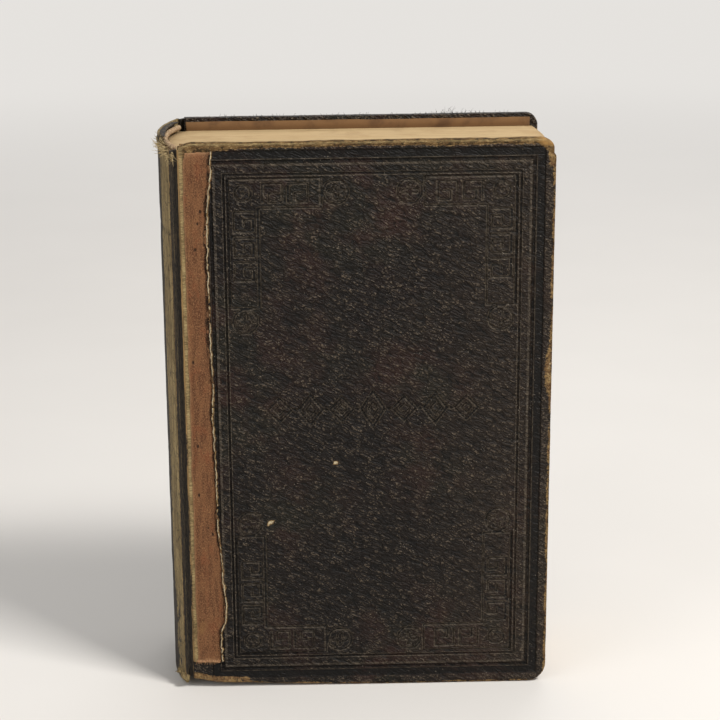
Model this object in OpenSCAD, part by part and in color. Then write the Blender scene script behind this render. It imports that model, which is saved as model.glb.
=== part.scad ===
// Leather-bound bible, closed and standing on its tail edges.
// The front cover faces -Y, the spine is at -X, the head is up.
// The origin is on the ground, under the middle of the closed book.

/* [Book] */
// Height of the boards, tail to head
cover_h = 192; // [150:1:260]
// Width of the closed book, spine to fore-edge
cover_w = 130; // [100:1:180]
// Thickness of the closed book, over both covers
book_t = 50; // [38:1:70]
// How far the boards stand past the leaves at head and tail
square = 4.4; // [2.5:0.1:7]
// How far the boards stand past the outer leaves at the fore-edge
fore_square = 2; // [1.5:0.1:6]
// How much further the middle leaves stand out at the fore-edge
fore_swell = 1.4; // [0:0.1:1.4]

/* [Boards and leather] */
// Thickness of each pasteboard
board_t = 2.6; // [1.8:0.1:4]
// Thickness of the leather on the boards
leather_t = 0.6; // [0.4:0.05:1]
// Thickness of the pared leather turned in over the board edges
turn_in_t = 0.3; // [0.2:0.05:0.5]
// Width of the leather turned in on the inside of a board
turn_in_w = 11; // [7:0.5:18]
// Radius of the boards' fore-edge corners at the head
head_corner_r = 3.5; // [1:0.5:8]
// Radius of the boards' fore-edge corners at the tail
tail_corner_r = 6; // [1:0.5:10]
// Width of the tooled lines pressed into the leather
fillet_w = 0.7; // [0.4:0.1:1.2]
// Depth of the tooled lines
fillet_deep = 0.2; // [0.1:0.05:0.3]
// Distance of the tooled frames from the board edges
fillet_insets = [4.2, 6.2, 8.6, 11.4];
// How much further the frames stand from the spine edge
fillet_shift = 6; // [0:0.5:12]

/* [Wear] */
// Height of bare pasteboard at the head of the front board
head_wear = 2.2; // [0.5:0.1:6]
// Width of the strip beside the joint where the leather's face is gone
bare_w = 8.6; // [4:0.1:14]
// Height of whole leather left below that strip
bare_z = 6; // [3:0.5:20]
// Thickness of the leather left in the strip
bare_t = 0.45; // [0.2:0.05:0.5]

/* [Spine] */
// Width of the open joint, from the shoulder to the board's spine edge
joint_w = 0.9; // [0.5:0.1:3]
// Height of the spine's curve, from the shoulders to its middle
round_rise = 5; // [2:0.1:6]
// Thickness of the spine leather
spine_leather_t = 0.8; // [0.5:0.05:1.2]
// Thickness of the paper lining glued to the backs of the gatherings
lining_t = 0.5; // [0.3:0.05:1]
// Thickness of the shoulder that the outer gatherings are bent into
shoulder_t = 0.8; // [0.5:0.1:1]
// Depth of the groove in the joint leather
joint_dip = 1; // [0.4:0.1:1.4]
// Radius of the sewn headband and tailband
band_r = 1; // [0.6:0.1:1.4]
// Reach of the leather caps over the headband and tailband
cap_reach = 2.4; // [1.5:0.1:4]

/* [Leaves and sewing] */
// Gatherings in each half of the text block
gatherings = 8; // [4:1:12]
// Thickness of a loose leaf, drawn stout enough to handle
leaf_t = 0.3; // [0.2:0.05:0.5]
// Thickness of the paper pasted inside each board
pastedown_t = 0.2; // [0.1:0.05:0.3]
// Radius of the sewing cords
cord_r = 0.55; // [0.3:0.05:0.8]
// Number of sewing cords let into the backs
cords = 4; // [3:1:5]
// Width of the cord ends frayed out on the boards
slip_w = 3.2; // [2:0.1:5]
// Length of the cord ends on the boards
slip_l = 12; // [6:0.5:20]
// Radius of the thread in the middle fold
thread_r = 0.25; // [0.15:0.05:0.3]

/* [Fit] */
// Clearance between pieces that turn past each other
turn_gap = 0.3; // [0.2:0.05:0.5]
// Clearance between pieces glued or sewn together
glue_gap = 0.05; // [0.02:0.01:0.1]

/* [Hidden] */
$fn = 64;

// depths from the middle plane of the book, the same to the front and to the back
y_out = book_t / 2;
y_board_out = y_out - leather_t;
y_board_in = y_board_out - board_t;
y_turn_in = y_board_in - turn_in_t;
y_leaf_out = y_turn_in - turn_gap;
y_leaf_in = y_leaf_out - leaf_t;
y_pages = y_leaf_in - turn_gap;
y_mid = leaf_t / 2 + turn_gap;
gathering_t = (y_pages - y_mid) / gatherings;

// places along the width
x_spine = -cover_w / 2;
x_fore = cover_w / 2;
x_board_fore = x_fore - leather_t;

// the spine's curve: circles about one upright axis inside the book
shoulder_y = y_board_out - leather_t;
spine_r = (pow(shoulder_y, 2) + pow(round_rise, 2)) / (2 * round_rise);
x_axis = x_spine + spine_r;
lining_r = spine_r - spine_leather_t - glue_gap;
back_r = lining_r - lining_t - glue_gap;
function x_on(r, y) = x_axis - sqrt(r * r - y * y);

// leaves
z_tail = square;
z_head = cover_h - square;
lip_y = shoulder_y - joint_dip;
lip_x = x_on(back_r, lip_y);
x_board = lip_x + shoulder_t + joint_w;
leaf_x = lip_x + shoulder_t + turn_gap;
outer_fore = x_fore - fore_square;
function fore_at(y) = outer_fore + fore_swell * (1 - pow(y / y_pages, 2));

// sewing: the cords lie in the backs, and the thread lies in the fold behind them
thread_x = x_on(back_r, y_mid) + turn_gap + 2 * cord_r + glue_gap + thread_r;
middle_x = thread_x + thread_r + turn_gap;
kerf_half = cord_r + turn_gap;
cord_centre_r = back_r - cord_r - turn_gap;
cord_step = (z_head - z_tail) / (cords + 1);
cord_heights = [for (i = [1 : cords]) z_tail + i * cord_step];
slip_t = cord_r * 0.7;
slip_y = y_board_in + slip_t + glue_gap;

leather_colour = "#2a2521";
bare_colour = "#9a6a47";
board_colour = "#b79a66";
paper_colour = "#d6c69c";
pastedown_colour = "#a5763f";
lining_colour = "#c4b28a";
cord_colour = "#c9b78f";
band_colour = "#dcc0a8";

// Shapes used by both halves ------------------------------------------------

// the same piece at the front (side = -1) or at the back (side = 1)
module on_side(side) {
    if (side > 0) children();
    else mirror([0, 1, 0]) children();
}

// an upright slab between two depths, from an outline drawn as width by height
module slab(near, far) {
    translate([0, far, 0]) rotate([90, 0, 0]) linear_extrude(far - near) children();
}

// a box between opposite corners
module block(low, high) {
    translate(low) cube(high - low);
}

// what a round corner takes off, at the origin of the first quadrant
module corner_waste(r) {
    difference() {
        square(r + 1);
        circle(r);
    }
}

// an outline whose two fore-edge corners are round
module board_outline(x0, x1, z0, z1, r_head, r_tail) {
    difference() {
        translate([x0, z0]) square([x1 - x0, z1 - z0]);
        translate([x1 - r_head, z1 - r_head]) corner_waste(r_head);
        translate([x1 - r_tail, z0 + r_tail]) mirror([0, 1]) corner_waste(r_tail);
    }
}

// a frame of one tooled line, set in from the edges of a board
module fillet_line(inset) {
    x0 = x_board + fillet_shift + inset;
    x1 = x_fore - inset;
    difference() {
        translate([x0, inset]) square([x1 - x0, cover_h - 2 * inset]);
        translate([x0 + fillet_w, inset + fillet_w])
            square([x1 - x0 - 2 * fillet_w, cover_h - 2 * (inset + fillet_w)]);
    }
}

// a ring about the spine's axis, kept between two depths, from a section drawn at its radius
module spine_arc(y_from, y_to) {
    intersection() {
        translate([x_axis, 0, 0]) rotate_extrude($fn = 240) children();
        block([x_spine - 1, y_from, -1], [x_axis - spine_r / 2, y_to, cover_h + 1]);
    }
}

// Boards ----------------------------------------------------------------------

module board_outline_bare() {
    board_outline(x_board, x_board_fore, leather_t, cover_h - leather_t,
                  head_corner_r, tail_corner_r);
}

module pasteboard(side) {
    on_side(side) difference() {
        slab(y_board_in, y_board_out) board_outline_bare();
        for (z = cord_heights)
            block([x_board - 1, y_board_in - 1, z - slip_w / 2 - glue_gap],
                  [x_board + slip_l + glue_gap, slip_y + glue_gap, z + slip_w / 2 + glue_gap]);
    }
}

// the leather over a board: its face, the wrapped edges and the pared turn-ins
module cover_leather(side, worn) {
    z_face = worn ? cover_h - head_wear : cover_h;
    color(leather_colour) on_side(side) difference() {
        slab(y_turn_in, y_out)
            board_outline(x_board, x_fore, 0, cover_h,
                          head_corner_r + leather_t, tail_corner_r + leather_t);
        slab(y_board_in, y_board_out) board_outline_bare();
        block([x_board - 1, y_turn_in - 1, turn_in_w],
              [x_fore - turn_in_w, y_board_in, cover_h - turn_in_w]);
        for (inset = fillet_insets)
            slab(y_out - fillet_deep, y_out + 1) fillet_line(inset);
        if (worn) {
            block([x_board - 1, 0, cover_h - leather_t], [x_fore + 1, y_out, cover_h + 1]);
            block([x_board - 1, y_board_in, z_face], [x_fore + 1, y_out + 1, cover_h + 1]);
            block([x_board - 1, y_board_out, bare_z],
                  [x_board + bare_w, y_out + 1, cover_h + 1]);
        }
    }
}

// the strip beside the front joint where only the leather's under side is left
module bare_strip() {
    color(bare_colour) on_side(-1)
        block([x_board, y_board_out, bare_z],
              [x_board + bare_w, y_board_out + bare_t, cover_h - head_wear]);
}

module pastedown(side) {
    color(pastedown_colour) on_side(side)
        block([x_board + glue_gap, y_board_in - pastedown_t, turn_in_w + glue_gap],
              [x_fore - turn_in_w - glue_gap, y_board_in, cover_h - turn_in_w - glue_gap]);
}

// the ends of the cords, frayed out and glued in slots on the inside of a board
module cord_slips(side) {
    color(cord_colour) on_side(side)
        for (z = cord_heights)
            block([leaf_x - turn_gap + glue_gap, slip_y - slip_t, z - slip_w / 2],
                  [x_board + slip_l, slip_y, z + slip_w / 2]);
}

// the leather across the joint, dipping into the groove between shoulder and board
module joint_leather(side) {
    steps = 10;
    start = [x_on(spine_r, shoulder_y), shoulder_y + glue_gap];
    bend = [x_on(spine_r - spine_leather_t, shoulder_y), shoulder_y + glue_gap];
    end = [x_board - glue_gap, y_board_out];
    path = concat([start], [for (i = [0 : steps])
        let (s = i / steps) bend + s * (end - bend) - [0, joint_dip * sin(180 * s)]]);
    outline = concat(path, [for (i = [steps + 1 : -1 : 0]) path[i] + [0, leather_t]]);
    color(leather_colour) on_side(side)
        translate([0, 0, leather_t]) linear_extrude(cover_h - head_wear - leather_t)
            polygon(outline);
}

// Text block --------------------------------------------------------------------

// one gathering of folded sheets, counted outwards from the middle
module gathering(side, i) {
    near = y_mid + (i - 1) * gathering_t;
    far = near + gathering_t - glue_gap;
    fold_r = (far - near) / 2;
    x0 = x_on(back_r, far);
    x1 = fore_at((near + far) / 2);
    color(paper_colour) on_side(side) difference() {
        union() {
            block([x0 + fold_r, near, z_tail], [x1, far, z_head]);
            translate([x0 + fold_r, near + fold_r, z_tail])
                cylinder(r = fold_r, h = z_head - z_tail);
            // the outermost gathering is bent out into the shoulder
            if (i == gatherings)
                block([lip_x, far - fold_r, z_tail], [lip_x + shoulder_t, lip_y, z_head]);
        }
        for (z = cord_heights)
            spine_arc(near - 1, lip_y + 1)
                translate([cord_centre_r - kerf_half, z - kerf_half])
                    square([spine_r, 2 * kerf_half]);
    }
}

// a loose leaf beside the first or last gathering
module flyleaf(side) {
    color(paper_colour) on_side(side)
        block([leaf_x, y_leaf_in, z_tail], [outer_fore, y_leaf_out, z_head]);
}

module middle_leaf() {
    color(paper_colour)
        block([middle_x, -leaf_t / 2, z_tail],
              [fore_at(0), leaf_t / 2, z_head]);
}

module sewing_cords() {
    color(cord_colour) for (z = cord_heights)
        spine_arc(-y_pages, y_pages) translate([cord_centre_r, z]) circle(cord_r, $fn = 24);
}

// the thread inside the middle fold, from the first cord to the last
module sewing_thread() {
    color(cord_colour)
        translate([thread_x, 0, cord_heights[0]])
            cylinder(r = thread_r, h = cord_heights[cords - 1] - cord_heights[0], $fn = 24);
}

// a sewn band standing on the end of the leaves, close behind the spine leather
module end_band(z) {
    color(band_colour) spine_arc(-y_pages + band_r, y_pages - band_r)
        translate([back_r - band_r - glue_gap, z]) circle(band_r, $fn = 32);
}

// Spine ---------------------------------------------------------------------------

module spine_lining() {
    color(lining_colour) spine_arc(-y_pages, y_pages)
        translate([lining_r - lining_t, z_tail]) square([lining_t, z_head - z_tail]);
}

// the leather over the spine, with a cap turned over each end
module spine_leather() {
    z0 = leather_t;
    z1 = cover_h - leather_t;
    color(leather_colour) {
        spine_arc(-shoulder_y, shoulder_y)
            translate([spine_r - spine_leather_t, z0]) square([spine_leather_t, z1 - z0]);
        for (z = [z0, z1 - leather_t])
            spine_arc(-y_pages, y_pages)
                translate([spine_r - cap_reach, z]) square([cap_reach, leather_t]);
    }
}

// Nodes ---------------------------------------------------------------------------

spine_leather();
spine_lining();
end_band(z_head + band_r + glue_gap);  // headband
end_band(z_tail - band_r - glue_gap);  // tailband
sewing_cords();
sewing_thread();
for (i = [1 : gatherings]) {
    gathering(1, i);
    gathering(-1, i);
}
middle_leaf();
flyleaf(-1);  // front_flyleaf
flyleaf(1);  // back_flyleaf
color(board_colour) pasteboard(-1);  // front_board
cover_leather(-1, true);  // front_cover_leather
bare_strip();  // front_bare_strip
pastedown(-1);  // front_pastedown
cord_slips(-1);  // front_cord_slips
joint_leather(-1);  // front_joint_leather
color(board_colour) pasteboard(1);  // back_board
cover_leather(1, false);  // back_cover_leather
pastedown(1);  // back_pastedown
cord_slips(1);  // back_cord_slips
joint_leather(1);  // back_joint_leather
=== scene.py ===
"""The looks of a worn leather-bound bible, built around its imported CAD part."""

import math

import bmesh
import bpy
import numpy as np
from mathutils import Matrix, Vector


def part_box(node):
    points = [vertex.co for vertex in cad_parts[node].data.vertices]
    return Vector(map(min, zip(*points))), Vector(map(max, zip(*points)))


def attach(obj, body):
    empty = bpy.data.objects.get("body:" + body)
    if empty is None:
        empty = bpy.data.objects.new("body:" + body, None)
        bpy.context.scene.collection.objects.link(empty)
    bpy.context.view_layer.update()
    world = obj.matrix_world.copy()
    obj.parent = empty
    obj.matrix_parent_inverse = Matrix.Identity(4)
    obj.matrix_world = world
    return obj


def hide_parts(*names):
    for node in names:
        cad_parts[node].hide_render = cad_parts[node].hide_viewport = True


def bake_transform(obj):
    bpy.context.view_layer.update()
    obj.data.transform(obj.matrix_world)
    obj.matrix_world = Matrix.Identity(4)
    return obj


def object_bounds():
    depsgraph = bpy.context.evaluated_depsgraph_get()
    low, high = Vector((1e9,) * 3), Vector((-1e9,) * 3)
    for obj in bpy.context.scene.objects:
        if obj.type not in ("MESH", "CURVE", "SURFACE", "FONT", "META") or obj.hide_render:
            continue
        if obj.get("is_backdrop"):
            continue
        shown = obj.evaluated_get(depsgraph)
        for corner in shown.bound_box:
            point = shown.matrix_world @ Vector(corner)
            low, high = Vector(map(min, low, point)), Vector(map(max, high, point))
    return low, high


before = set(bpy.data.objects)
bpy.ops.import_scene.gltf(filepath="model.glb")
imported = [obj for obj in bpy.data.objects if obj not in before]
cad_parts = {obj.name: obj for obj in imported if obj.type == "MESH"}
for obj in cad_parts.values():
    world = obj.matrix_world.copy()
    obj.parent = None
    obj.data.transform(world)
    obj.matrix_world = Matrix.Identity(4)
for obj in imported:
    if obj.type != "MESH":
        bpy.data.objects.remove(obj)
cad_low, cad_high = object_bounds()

MM = 0.001


# ---------------------------------------------------------------- measures, in millimetres

def mm_box(node):
    """Lowest and highest corner of a node of the frame."""
    low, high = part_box(node)
    return np.array(low) / MM, np.array(high) / MM


BOOK_LOW, BOOK_HIGH = np.array(cad_low) / MM, np.array(cad_high) / MM
BOARD_LOW, BOARD_HIGH = mm_box("front_board")
LEATHER_HIGH = mm_box("front_cover_leather")[1]
PAGES_LOW, PAGES_HIGH = mm_box("front_gathering_8")
STRIP_LOW, STRIP_HIGH = mm_box("front_bare_strip")
SPINE_LOW, SPINE_HIGH = mm_box("spine_leather")
LINING_LOW = mm_box("spine_lining")[0]

FORE = BOOK_HIGH[0]                     # fore-edge of the boards
HINGE = BOARD_LOW[0]                    # spine edge of the boards
HEIGHT = BOOK_HIGH[2]
FACE = BOOK_HIGH[1]                     # outer face of the leather, as a depth from the middle
BOARD_OUT = -BOARD_LOW[1]
BOARD_IN = -BOARD_HIGH[1]
TURNED = -LEATHER_HIGH[1]               # inner face of the turned-in leather
WRAP = HEIGHT - BOARD_HIGH[2]           # thickness of the leather over the board edges
TURN_IN = 11.0                          # how far the leather reaches inside the board
HEAD_R, TAIL_R = 4.1, 6.6               # rounding of the fore-edge corners
SHOULDER = SPINE_HIGH[1]                # half the width of the spine
RISE = 5.0                              # how far the spine swells out past its shoulders
SPINE_R = (SHOULDER ** 2 + RISE ** 2) / (2 * RISE)
AXIS = BOOK_LOW[0] + SPINE_R            # centre of the spine's arc
BACK_R = AXIS - LINING_LOW[0] - 0.55    # radius of the backs of the leaves
LEAF_TAIL, LEAF_HEAD = PAGES_LOW[2], PAGES_HIGH[2]
FRAME_SHIFT = 3.4                       # the tooled frame's outline, in from the boards' spine edge
ORNAMENT_IN = 12.6                      # corner ornaments, in from the tooled frame's outline
TITLE_Z = HEIGHT * 0.525                # height of the row of lozenges
PRESSED = 0.3                           # depth of the ornaments and the lozenges
SOFT = 0.55                             # how far in from its outline the leather starts to turn over
HEAD_WORN = 2.4                         # leather gone from the head of the front board
HEAD_FADE = 6.0                         # height over which the worn head's line fades out
TEAR_FROM = 8.2                         # height where the tear beside the joint starts
TAIL_FADE = 14.0                        # height over which the lift of the tail fades out


# ---------------------------------------------------------------- chance that repeats

def smooth(t):
    """0 below 0, 1 above 1, and a soft step between them."""
    t = np.clip(t, 0, 1)
    return t * t * (3 - 2 * t)


LONG, WIDE = 997, 199                   # chance values along a line, and each way over a surface
LONG_START, WIDE_START = 300, 70        # keep every place above zero


def wander(p, step, seed):
    """Smooth wandering along a line, from -1 to 1."""
    table = np.random.default_rng(seed).uniform(-1, 1, LONG)
    q = np.asarray(p, float) / step + LONG_START
    i = np.floor(q).astype(int)
    t = smooth(q - i)
    return table[i % LONG] * (1 - t) + table[(i + 1) % LONG] * t


def mottle(p, q, step, seed):
    """Smooth wandering over a surface, from -1 to 1."""
    table = np.random.default_rng(seed).uniform(-1, 1, (WIDE, WIDE))
    p, q = (np.asarray(v, float) / step + WIDE_START for v in (p, q))
    i, j = np.floor(p).astype(int), np.floor(q).astype(int)
    s, t = smooth(p - i), smooth(q - j)
    i, j, k, l = i % WIDE, j % WIDE, (i + 1) % WIDE, (j + 1) % WIDE
    return ((table[i, j] * (1 - s) + table[k, j] * s) * (1 - t)
            + (table[i, l] * (1 - s) + table[k, l] * s) * t)


def torn(p, seed):
    """A ragged edge: slow wandering with short nicks on it."""
    return wander(p, 9, seed) * 0.5 + wander(p, 2.6, seed + 1) * 0.35 + wander(p, 0.8, seed + 2) * 0.25


# ---------------------------------------------------------------- meshes, in millimetres

TINY = 1e-12                            # keeps a division away from nought
ASLANT = (0.31, 0.17, 0.93)             # a way that no strand runs along


class Shape:
    """Points and faces of one piece, gathered in millimetres."""

    def __init__(self):
        self.points, self.faces, self.marks, self.dents, self.count = [], [], [], [], 0

    def add(self, points, mark=0.0, dent=0.0):
        """Keeps points with their wear and their pressing (painted highlight too on the boards, painted
        shadow on the suede strip); gives back their numbers.
        """
        points = np.asarray(points, float)
        size = int(np.prod(points.shape[:-1]))
        index = np.arange(self.count, self.count + size).reshape(points.shape[:-1])
        self.points.append(points.reshape(-1, 3))
        for kept, value in ((self.marks, mark), (self.dents, dent)):
            kept.append(np.broadcast_to(np.asarray(value, float), points.shape[:-1]).reshape(-1))
        self.count += size
        return index

    def quads(self, index):
        """Faces over a grid of point numbers."""
        a, b, c, d = index[:-1, :-1], index[1:, :-1], index[1:, 1:], index[:-1, 1:]
        self.faces += np.stack([a, b, c, d], -1).reshape(-1, 4).tolist()

    def strip(self, *rows):
        """Faces between rows of as many points each."""
        self.quads(np.stack([np.asarray(r) for r in rows]))

    def cap(self, loop):
        """One face over a loop of points."""
        self.faces.append([int(i) for i in loop])

    def strand(self, path, thick, thin=None, sides=5, mark=0.0):
        """A tapered tube along a path."""
        path = np.asarray(path, float)
        thin = thick if thin is None else thin
        way = np.gradient(path, axis=0)
        way /= np.linalg.norm(way, axis=1)[:, None] + TINY
        side = np.cross(way, ASLANT)
        side /= np.linalg.norm(side, axis=1)[:, None] + TINY
        other = np.cross(way, side)
        turn = np.arange(sides) / sides * 2 * math.pi
        r = np.linspace(thick, thin, len(path))[:, None, None]
        ring = path[:, None] + r * (np.cos(turn)[None, :, None] * side[:, None]
                                    + np.sin(turn)[None, :, None] * other[:, None])
        self.tube(ring, mark)

    def tube(self, rings, mark=0.0):
        """A closed tube through rings of points, capped at both ends."""
        index = self.add(rings, mark)
        self.quads(np.concatenate([index, index[:, :1]], 1))
        self.cap(index[0])
        self.cap(index[-1][::-1])

    def bar(self, lines, mark=0.0):
        """A closed bar from its lengthwise lines, given in order round it."""
        index = self.add(lines, mark)
        self.quads(np.concatenate([index, index[:1]]))
        self.cap(index[:, 0])
        self.cap(index[::-1, -1])

    def sheet(self, outer, inner):
        """Closes two facing grids into a sheet."""
        self.quads(outer)
        self.quads(inner[::-1])
        self.strip(around(outer), around(inner))

    def build(self, name, finish, slot, body=None, stands_for=()):
        """Makes the piece, rides it on its body and hides the nodes it stands for."""
        mesh = bpy.data.meshes.new(name)
        mesh.from_pydata((np.concatenate(self.points) * MM).tolist(), [], self.faces)
        for attribute, values in (("worn", self.marks), ("pressed", self.dents)):
            mesh.attributes.new(attribute, "FLOAT", "POINT").data.foreach_set(
                "value", np.concatenate(values).astype(np.float32))
        work = bmesh.new()
        work.from_mesh(mesh)
        bmesh.ops.recalc_face_normals(work, faces=work.faces)
        work.to_mesh(mesh)
        work.free()
        mesh.polygons.foreach_set("use_smooth", [True] * len(mesh.polygons))
        piece = bpy.data.objects.new(name, mesh)
        bpy.context.scene.collection.objects.link(piece)
        mesh.materials.append(finish)
        if body:
            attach(piece, body)
        if stands_for:
            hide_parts(*stands_for)
        return piece


def around(grid):
    """The border of a grid of points, walked once round and closed."""
    return np.concatenate([grid[:-1, 0], grid[-1, :-1], grid[:0:-1, -1], grid[0, ::-1]])


def steps(start, end, coarse, marks=(), fine=0.3, reach=0.8):
    """Places from start to end, closer together near the marks."""
    places, here = [start], start
    while here < end:
        near = any(low - reach <= here <= high + reach for low, high in marks)
        here += fine if near else coarse
        places.append(here)
    places = np.array(places)
    return start + (places - start) * (end - start) / (places[-1] - start)


def soften(x, z, cx, cz, r, sx, sz):
    """Moves the points of a square corner onto a round one about (cx, cz)."""
    a, b = (x - cx) * sx / r, (z - cz) * sz / r
    m = np.maximum(a, b)
    with np.errstate(divide="ignore", invalid="ignore"):
        turn = np.where(a >= b, b / a, 2 - a / b) * math.pi / 4
    inside = (a > 0) & (b > 0)
    turn = np.where(inside, turn, 0)
    return (np.where(inside, cx + sx * r * m * np.cos(turn), x),
            np.where(inside, cz + sz * r * m * np.sin(turn), z))


class Rim:
    """The border of a board: its places at any distance in from the outline."""

    def __init__(self, places, x0, x1, z0, z1, r_head, r_tail, spine_side=True):
        """places: border points of the upright rectangle, in order, each (x, z)."""
        self.x0, self.x1, self.z0, self.z1 = x0, x1, z0, z1
        self.base = np.array(places, float)
        x, z = self.base.T
        self.out = np.zeros_like(self.base)
        self.round = np.zeros(len(x))
        self.centre = np.zeros_like(self.base)
        tol = 1e-6
        self.out[np.abs(z - z0) < tol] = (0, -1)
        self.out[np.abs(z - z1) < tol] = (0, 1)
        if spine_side:
            self.out[np.abs(x - x0) < tol] = (-1, 0)
        self.out[np.abs(x - x1) < tol] = (1, 0)
        for cx, cz, r, sz in ((x1 - r_head, z1 - r_head, r_head, 1),
                              (x1 - r_tail, z0 + r_tail, r_tail, -1)):
            a, b = (x - cx) / r, (z - cz) * sz / r
            inside = (a >= 0) & (b >= 0)
            turn = np.where(a >= b, b / np.maximum(a, 1e-9), 2 - a / np.maximum(b, 1e-9)) * math.pi / 4
            self.out[inside, 0] = np.cos(turn[inside])
            self.out[inside, 1] = sz * np.sin(turn[inside])
            self.round[inside] = r
            self.centre[inside] = (cx, cz)

    def at(self, inset):
        """The border's places, moved in by inset."""
        arc = self.round > 0
        p = self.base - self.out * inset
        p[arc] = self.centre[arc] + self.out[arc] * np.maximum(self.round[arc] - inset, 0)[:, None]
        p[:, 0] = np.clip(p[:, 0], self.x0, self.x1 - inset)
        p[:, 1] = np.clip(p[:, 1], self.z0 + inset, self.z1 - inset)
        return p


# ---------------------------------------------------------------- finishes

def tone(*channels):
    """A colour from 0 to 255 a channel, as the shader counts it."""
    return (*(((c / 255 + 0.055) / 1.055) ** 2.4 if c > 10 else c / 255 / 12.92 for c in channels), 1.0)


def adds(operation, other_first=False):
    """An operator that adds one Math node of that operation."""
    def made(self, other):
        values = (other, self) if other_first else (self, other)
        return self.finish.node("ShaderNodeMath", {"operation": operation}, *values)
    return made


class Sum:
    """A shader value or colour that takes part in sums: each sum adds its Math node."""

    def __init__(self, finish, socket):
        self.finish, self.socket = finish, socket

    __add__, __radd__ = adds("ADD"), adds("ADD", True)
    __sub__, __rsub__ = adds("SUBTRACT"), adds("SUBTRACT", True)
    __mul__, __rmul__ = adds("MULTIPLY"), adds("MULTIPLY", True)
    least, most = adds("MINIMUM"), adds("MAXIMUM")

    def __abs__(self):
        return self.finish.node("ShaderNodeMath", {"operation": "ABSOLUTE"}, self)

    def between(self, low, high):
        """0 at low, 1 at high, smooth between them; low may be the larger."""
        return self.finish.node("ShaderNodeMapRange", {"interpolation_type": "SMOOTHSTEP"},
                                self, low, high, 0.0, 1.0)


class Finish:
    """One material, written as sums of its nodes."""

    def __init__(self, name, **constants):
        self.material = bpy.data.materials.new(name)
        self.material.use_nodes = True
        self.tree = self.material.node_tree
        self.shader = next(n for n in self.tree.nodes if n.type == "BSDF_PRINCIPLED")
        for socket, value in constants.items():
            self.shader.inputs[socket.replace("_", " ")].default_value = value
        self.place = self.node("ShaderNodeVectorMath", {"operation": "SCALE"},
                               self.node("ShaderNodeTexCoord", {}, out="Object"), Scale=1 / MM)
        axes = self.node("ShaderNodeSeparateXYZ", {}, self.place).socket.node.outputs
        self.x, self.y, self.z = (Sum(self, axes[i]) for i in range(3))

    def node(self, kind, settings, *values, out=0, **named):
        """Any node: its type, its settings, then the values or links of its sockets."""
        made = self.tree.nodes.new(kind)
        for setting, value in settings.items():
            setattr(made, setting, value)
        live = [s for s in made.inputs if s.enabled]
        joined = list(zip(live, values))
        joined += [(next(s for s in live if s.name == key), value) for key, value in named.items()]
        for socket, value in joined:
            if isinstance(value, Sum):
                self.tree.links.new(value.socket, socket)
            else:
                socket.default_value = value
        if isinstance(out, str):
            return Sum(self, next(s for s in made.outputs if s.name == out and s.enabled))
        return Sum(self, [s for s in made.outputs if s.enabled][out])

    def stretched(self, sx, sy, sz, lean=0.0):
        """The place on the piece, turned about the depth by lean and scaled along each axis."""
        turned = self.place
        if lean:
            turned = self.node("ShaderNodeVectorRotate", {"rotation_type": "Y_AXIS"}, turned, Angle=lean)
        return self.node("ShaderNodeVectorMath", {"operation": "MULTIPLY"}, turned, (sx, sy, sz))

    def clouds(self, where=None, scale=1.0, detail=3.0, rough=0.5, bend=0.0):
        """Soft noise, about 0.5 in its middle; scale is in lumps a millimetre."""
        return self.node("ShaderNodeTexNoise", {}, where or self.place,
                         Scale=scale, Detail=detail, Roughness=rough, Distortion=bend)

    def cells(self, where=None, scale=1.0, feature="F1"):
        """Distances over a pattern of cells."""
        return self.node("ShaderNodeTexVoronoi", {"feature": feature}, where or self.place,
                         Scale=scale, Randomness=1.0, out="Distance")

    def mark(self, name="worn"):
        """The wear or the pressing kept with the points of the piece; on the boards they also carry painted
        highlight, on the suede strip painted shadow.
        """
        return self.node("ShaderNodeAttribute", {"attribute_name": name}, out="Fac")

    def mix(self, share, a, b):
        """Colour a where share is 0, b where it is 1."""
        return self.node("ShaderNodeMix", {"data_type": "RGBA", "blend_type": "MIX", "clamp_factor": True},
                         share, a, b)

    def done(self, colour, roughness, height=None, depth=0.1):
        """Joins the colour, roughness and a height in millimetres to the shader."""
        for socket, value in (("Base Color", colour), ("Roughness", roughness)):
            if isinstance(value, Sum):
                self.tree.links.new(value.socket, self.shader.inputs[socket])
            else:
                self.shader.inputs[socket].default_value = value
        if height is not None:
            bump = self.node("ShaderNodeBump", {}, Strength=1.0, Distance=depth * MM, Height=height)
            self.tree.links.new(bump.socket, self.shader.inputs["Normal"])
        return self.material


def frame_inset(f):
    """Distance in from the tooled frame's own outline, on the shader's side."""
    sides = (FORE - f.x).least(f.x - (HINGE + FRAME_SHIFT))
    return sides.least((HEIGHT - f.z).least(f.z))


BLACK = tone(21, 15, 11)
# painted shade colour for the grain's hollows and the pressed tooling
SHADED_BLACK = tone(9, 8, 7)
# painted highlight colour for the wrinkle crests, partly rubbed wear
CREST_HIGHLIGHT_AND_WEAR = tone(106, 93, 77)
OLIVE = tone(31, 28, 19)
BROWN = tone(50, 30, 23)
SPECK = tone(128, 118, 104)


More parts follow.
